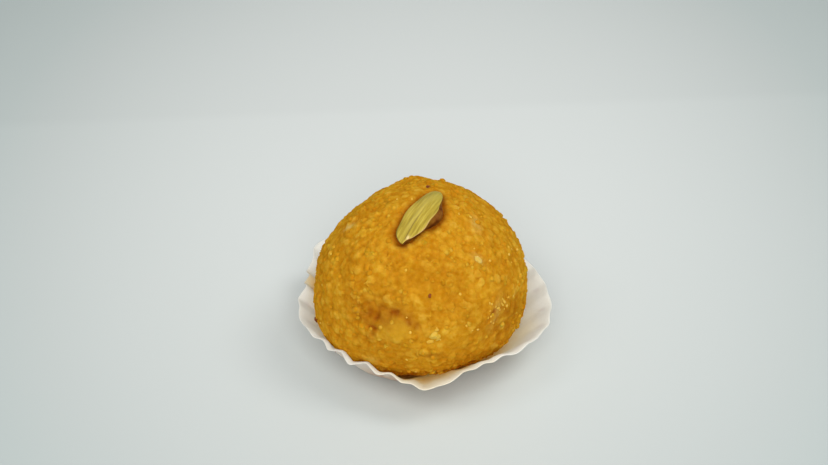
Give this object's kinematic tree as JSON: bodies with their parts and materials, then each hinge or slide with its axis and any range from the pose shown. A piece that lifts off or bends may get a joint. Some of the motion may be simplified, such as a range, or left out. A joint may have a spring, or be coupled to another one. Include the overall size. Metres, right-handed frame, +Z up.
{
  "type": "boondi ladoo",
  "caption": "Ball of pressed sweet gram pearls with half a pistachio on top, standing in a fluted paper case.",
  "frame": {"origin": "centre of the flat underside of the paper case, on the surface the sweet stands on", "axes": "+Z up, out of the case; -Y is the front, the side the pistachio's pointed end is turned to"},
  "size_m": [0.0573, 0.0566, 0.0419],
  "materials": {
    "gram_pearls": "satin",
    "pistachio": "satin",
    "case_paper": "matte"
  },
  "bodies": {
    "root": {"ladoo": "gram_pearls", "pistachio_half": "pistachio", "paper_case": "case_paper"}
  },
  "joints": []
}
